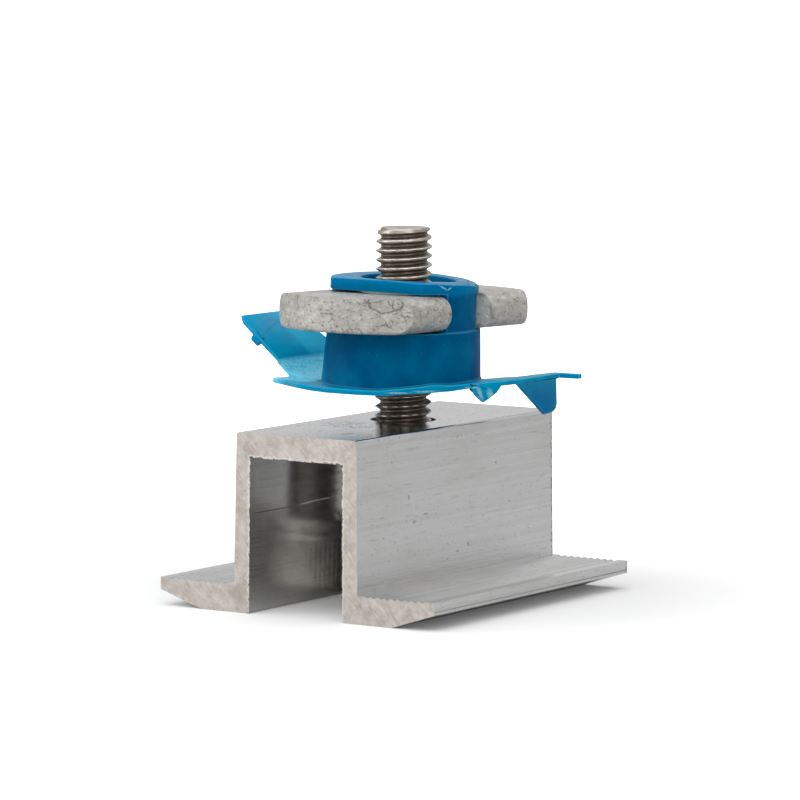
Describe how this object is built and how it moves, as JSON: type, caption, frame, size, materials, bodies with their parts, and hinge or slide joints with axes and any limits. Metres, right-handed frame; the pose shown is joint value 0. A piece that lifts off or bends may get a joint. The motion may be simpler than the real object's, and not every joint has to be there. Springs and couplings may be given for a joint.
{
  "type": "solar panel mid clamp",
  "caption": "Aluminium top-hat mid clamp standing on its toothed wings, with a socket cap screw, a rail nut and its thin plastic nut holder.",
  "frame": {"origin": "on the screw's axis, at the end face of its head, which is also the level the clamp's wings stand on", "axes": "+Z along the screw from its head to its free end; +X across the extrusion; +Y along the extrusion, away from the end nearer the camera"},
  "size_m": [0.0448, 0.05, 0.0505],
  "materials": {
    "clamp_profile": "mill-finish extrusion, saw-cut ends",
    "cap_screw": "plain stainless",
    "spring_washer": "plain stainless",
    "rail_nut": "matt hot-dip galvanised",
    "nut_holder": "moulded, slightly glossy"
  },
  "bodies": {
    "clamp": {"clamp_profile": "clamp_profile"},
    "washer": {"spring_washer": "spring_washer"},
    "screw": {"cap_screw": "cap_screw"},
    "nut": {"rail_nut": "rail_nut", "nut_holder": "nut_holder"}
  },
  "joints": [
    {"name": "screw_lift", "type": "slide", "parent": "clamp", "child": "washer", "axis": [0, 0, 1], "range_m": [0, 0.0109]},
    {"name": "screw_turn", "type": "hinge", "parent": "washer", "child": "screw", "pos_m": [0, 0, 0.01], "axis": [0, 0, 1], "range_deg": [-2447, 1237]},
    {"name": "nut_travel", "type": "slide", "parent": "washer", "child": "nut", "axis": [0, 0, 1], "range_m": [-0.0043, 0.0085]}
  ],
  "couplings": [
    {"joint": "nut_travel", "follows": "screw_turn", "m_per_rad": -0.00019894}
  ]
}
